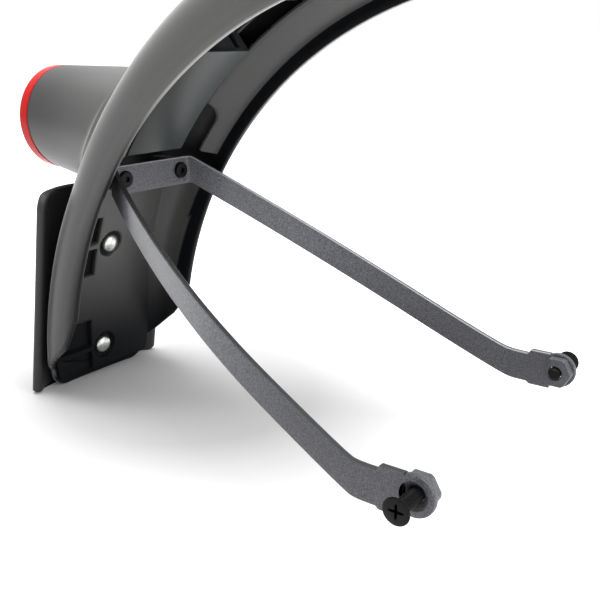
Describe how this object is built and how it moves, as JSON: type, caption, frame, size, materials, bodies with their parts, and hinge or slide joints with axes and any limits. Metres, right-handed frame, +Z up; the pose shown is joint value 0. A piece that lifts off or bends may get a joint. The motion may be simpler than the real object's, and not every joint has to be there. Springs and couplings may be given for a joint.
{
  "type": "electric scooter mudguard",
  "caption": "Rear scooter mudguard: arched plastic shell with a rear lamp barrel, rubber flap and U-shaped steel stay.",
  "frame": {"origin": "middle of the line through the two screw holes at the ends of the stay", "axes": "+X forward along the vehicle, +Y to its left, +Z up, in the attitude of use"},
  "size_m": [0.2679, 0.1468, 0.2103],
  "materials": {
    "shell_plastic": "satin moulded polypropylene",
    "flap_rubber": "matt moulded rubber",
    "rivet_zinc": "zinc plated",
    "washer_zinc": "zinc plated",
    "stay_powder_coat": "fine speckled powder coat",
    "arm_screw_black": "black zinc",
    "stay_screw_black": "black zinc",
    "insert_brass": "turned",
    "lens_red": "clear red moulded acrylic",
    "seal_rubber": "matt",
    "board_laminate": "white solder mask",
    "board_screw_steel": "zinc plated",
    "led_resin": "moulded resin",
    "reflector_chrome": "metallised plastic",
    "cover_plastic": "satin moulded polypropylene",
    "grommet_rubber": "matt"
  },
  "bodies": {
    "root": {"mudguard_shell": "shell_plastic", "mud_flap": "flap_rubber", "flap_rivets": "rivet_zinc", "flap_rivet_washers": "washer_zinc", "stay_bracket": "stay_powder_coat", "arm_end_screws": "arm_screw_black", "stay_screws": "stay_screw_black", "stay_thread_inserts": "insert_brass", "lamp_lens": "lens_red", "lens_seal": "seal_rubber", "lamp_board": "board_laminate", "lamp_board_screws": "board_screw_steel", "lamp_leds": "led_resin", "lamp_reflector": "reflector_chrome", "cable_cover": "cover_plastic", "cable_grommet": "grommet_rubber"}
  },
  "joints": []
}
